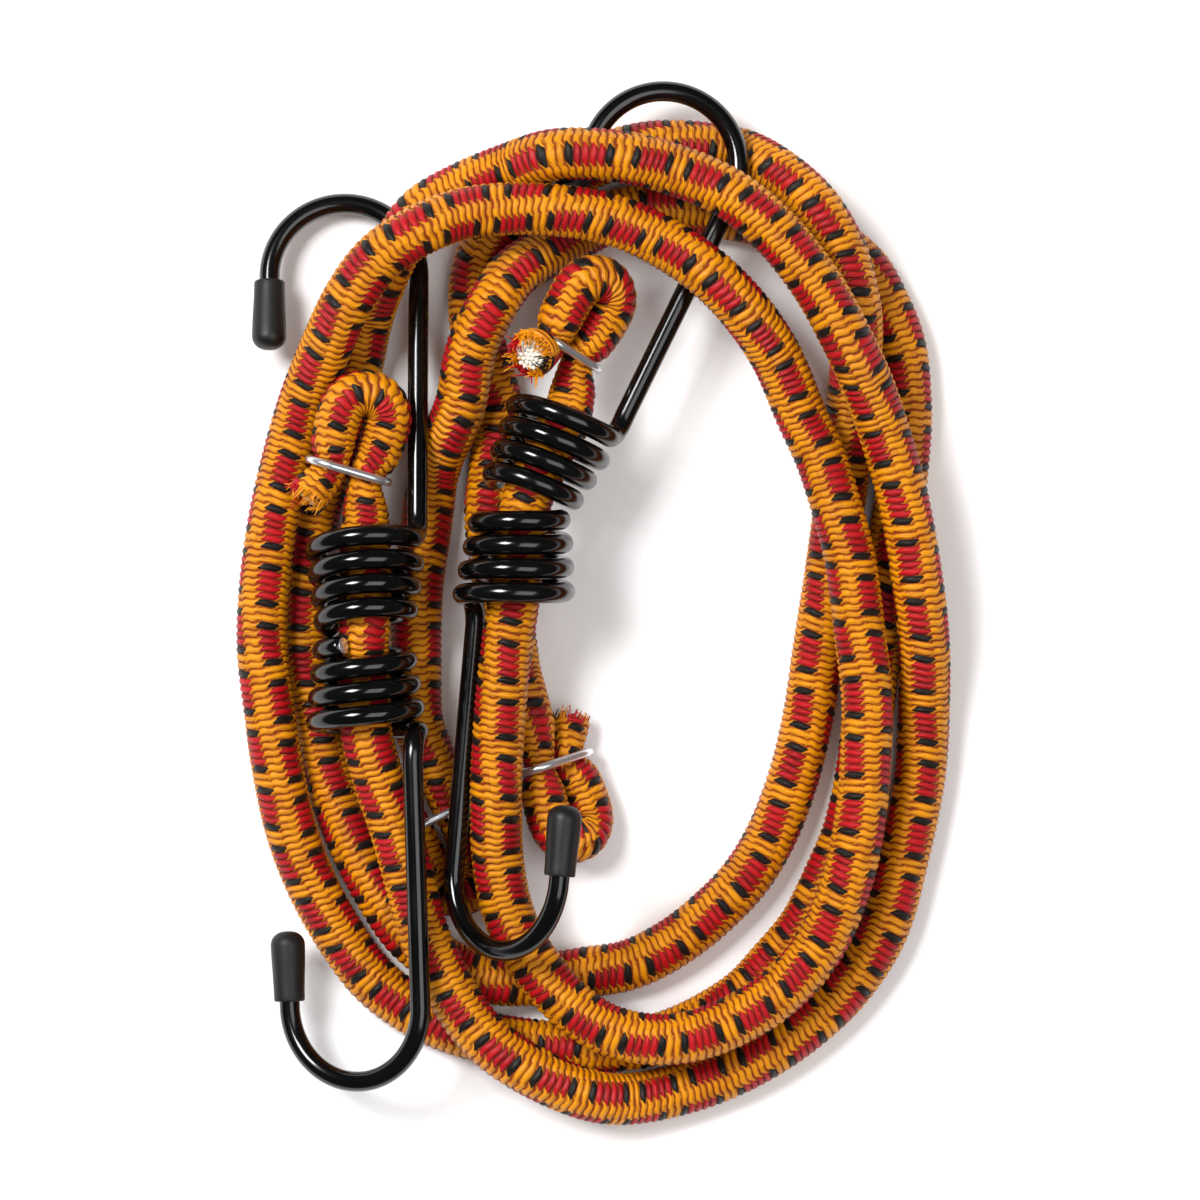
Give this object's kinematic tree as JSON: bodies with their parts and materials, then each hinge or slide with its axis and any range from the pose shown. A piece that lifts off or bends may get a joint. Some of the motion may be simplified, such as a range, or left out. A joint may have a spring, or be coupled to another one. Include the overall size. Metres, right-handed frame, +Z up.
{
  "type": "bungee cord",
  "caption": "Coiled pair of braided elastic tie-down cords whose folded ends are clamped by steel rings and carry black coated wire hooks with moulded tips.",
  "frame": {"origin": "centre of the coil's plan box, on the table", "axes": "+Z up off the table towards the viewer, +Y along the coil's long direction towards the far end, +X to the right"},
  "size_m": [0.1077, 0.1579, 0.0305],
  "materials": {
    "braid": "woven yellow yarn with red and black tracer stitches",
    "rubber_core": "matt natural rubber",
    "ring_steel": "bright drawn wire",
    "coated_wire": "gloss black coat on steel wire",
    "cap_vinyl": "satin black moulded vinyl"
  },
  "bodies": {
    "cords": {"cord_1_sheath": "braid", "cord_1_core": "rubber_core", "cord_2_sheath": "braid", "cord_2_core": "rubber_core", "ring_1": "ring_steel", "ring_2": "ring_steel", "ring_3": "ring_steel", "ring_4": "ring_steel"},
    "hook_body_1": {"hook_1": "coated_wire", "tip_cap_1": "cap_vinyl"},
    "hook_body_2": {"hook_2": "coated_wire", "tip_cap_2": "cap_vinyl"},
    "hook_body_3": {"hook_3": "coated_wire", "tip_cap_3": "cap_vinyl"},
    "hook_body_4": {"hook_4": "coated_wire", "tip_cap_4": "cap_vinyl"}
  },
  "joints": [
    {"name": "hook_1_slide", "type": "slide", "parent": "cords", "child": "hook_body_1", "axis": [0, 0.9799, -0.1994], "range_m": [0, 0.002]},
    {"name": "hook_2_slide", "type": "slide", "parent": "cords", "child": "hook_body_2", "axis": [0.4358, 0.8935, -0.108], "range_m": [0, 0.001]},
    {"name": "hook_3_slide", "type": "slide", "parent": "cords", "child": "hook_body_3", "axis": [0.0314, -0.9995, 0], "range_m": [0, 0.002]},
    {"name": "hook_4_slide", "type": "slide", "parent": "cords", "child": "hook_body_4", "axis": [-0.0872, -0.9962, 0], "range_m": [0, 0.0018]}
  ]
}
